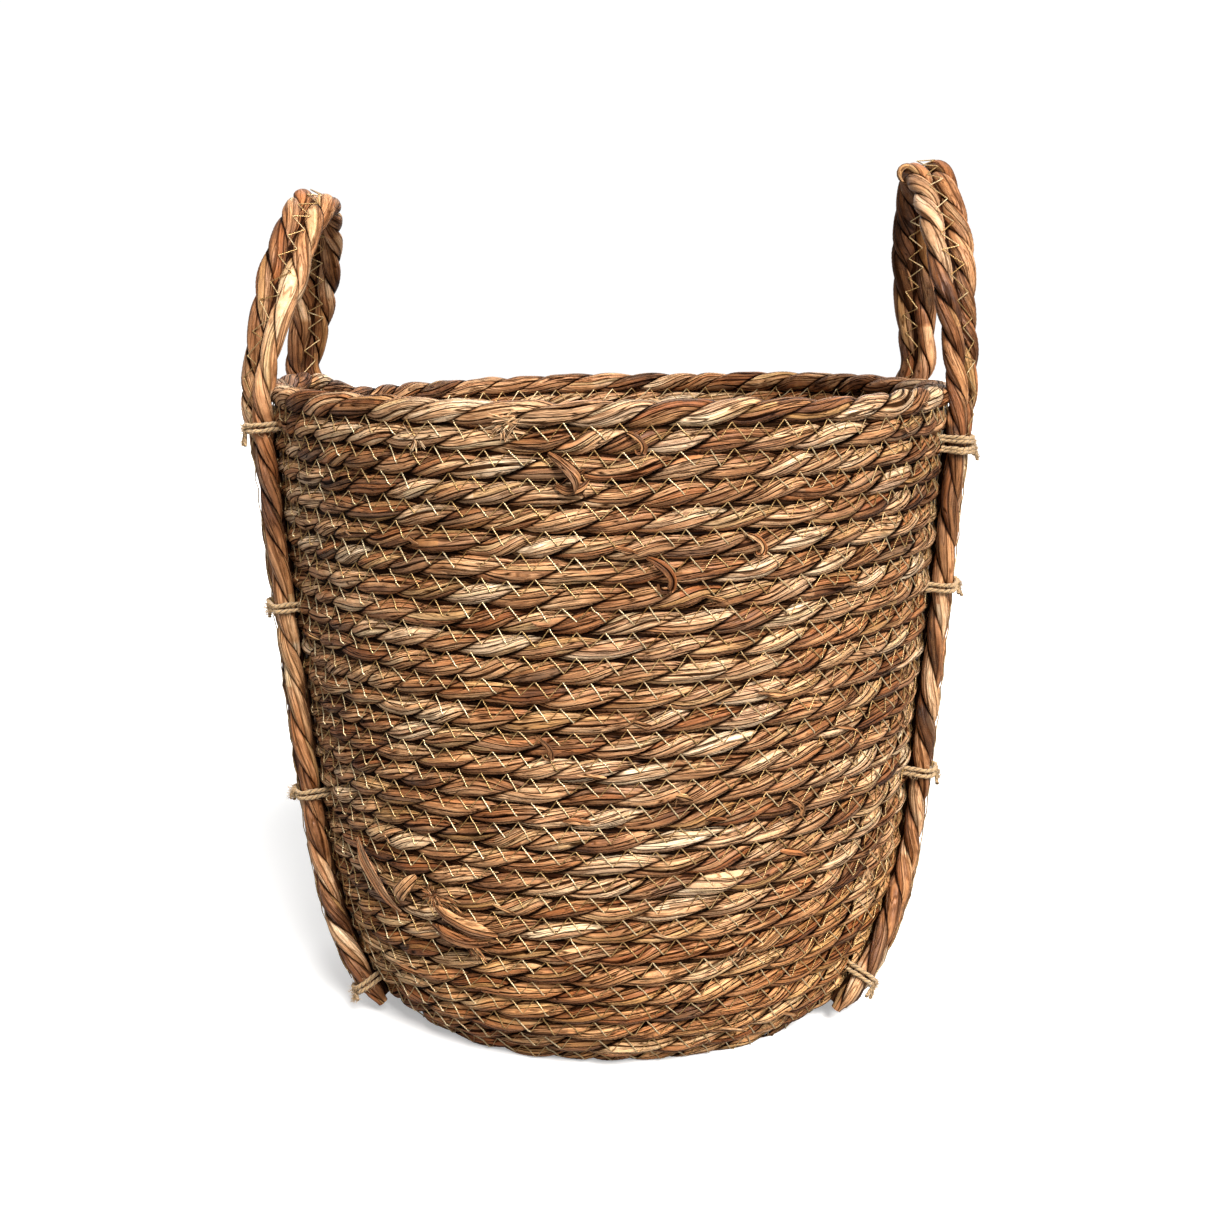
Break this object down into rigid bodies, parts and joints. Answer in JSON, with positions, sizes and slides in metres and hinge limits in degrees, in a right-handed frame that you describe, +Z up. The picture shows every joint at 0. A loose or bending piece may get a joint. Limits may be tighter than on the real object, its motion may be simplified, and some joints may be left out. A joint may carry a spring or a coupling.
{
  "type": "seagrass storage basket",
  "caption": "Round tapered storage basket coiled from twisted seagrass rope, sewn with zigzag thread, with tall rope strap handles tied to its sides.",
  "frame": {"origin": "centre of the base's underside, where the basket rests", "axes": "+Z up along the basket's axis, +X to the right handle, -Y to the front"},
  "size_m": [0.376, 0.36, 0.4457],
  "materials": {
    "seagrass_rope": "twisted dry seagrass, mixed straw, orange brown and grey brown leaves, satin",
    "rim_rope": "twisted dry seagrass, satin",
    "strap_rope": "twisted dry seagrass, satin",
    "sewing_thread": "glossy golden tan sewing thread",
    "jute_twine": "matt fuzzy jute"
  },
  "bodies": {
    "basket": {"base_coil": "seagrass_rope", "corner_coil": "seagrass_rope", "lower_wall_coil": "seagrass_rope", "middle_wall_coil": "seagrass_rope", "upper_wall_coil": "seagrass_rope", "rim_coil": "rim_rope", "base_stitching": "sewing_thread", "wall_stitching": "sewing_thread", "left_front_leg_inner_rope": "strap_rope", "left_front_leg_outer_rope": "strap_rope", "left_back_leg_inner_rope": "strap_rope", "left_back_leg_outer_rope": "strap_rope", "right_front_leg_inner_rope": "strap_rope", "right_front_leg_outer_rope": "strap_rope", "right_back_leg_inner_rope": "strap_rope", "right_back_leg_outer_rope": "strap_rope", "left_front_leg_stitching": "sewing_thread", "left_back_leg_stitching": "sewing_thread", "right_front_leg_stitching": "sewing_thread", "right_back_leg_stitching": "sewing_thread", "left_front_tie_1": "jute_twine", "left_front_tie_2": "jute_twine", "left_front_tie_3": "jute_twine", "left_front_tie_4": "jute_twine", "left_back_tie_1": "jute_twine", "left_back_tie_2": "jute_twine", "left_back_tie_3": "jute_twine", "left_back_tie_4": "jute_twine", "right_front_tie_1": "jute_twine", "right_front_tie_2": "jute_twine", "right_front_tie_3": "jute_twine", "right_front_tie_4": "jute_twine", "right_back_tie_1": "jute_twine", "right_back_tie_2": "jute_twine", "right_back_tie_3": "jute_twine", "right_back_tie_4": "jute_twine"},
    "left_handle": {"left_arch_inner_rope": "strap_rope", "left_arch_outer_rope": "strap_rope", "left_arch_stitching": "sewing_thread"},
    "right_handle": {"right_arch_inner_rope": "strap_rope", "right_arch_outer_rope": "strap_rope", "right_arch_stitching": "sewing_thread"}
  },
  "joints": [
    {"name": "left_handle_bend", "type": "hinge", "parent": "basket", "child": "left_handle", "pos_m": [-0.17632, 0, 0.33925], "axis": [0, 1, 0], "range_deg": [-50, 40], "stiffness_Nm_per_rad": 0.3},
    {"name": "right_handle_bend", "type": "hinge", "parent": "basket", "child": "right_handle", "pos_m": [0.17766, 0, 0.33925], "axis": [0, -1, 0], "range_deg": [-50, 40], "stiffness_Nm_per_rad": 0.3}
  ]
}
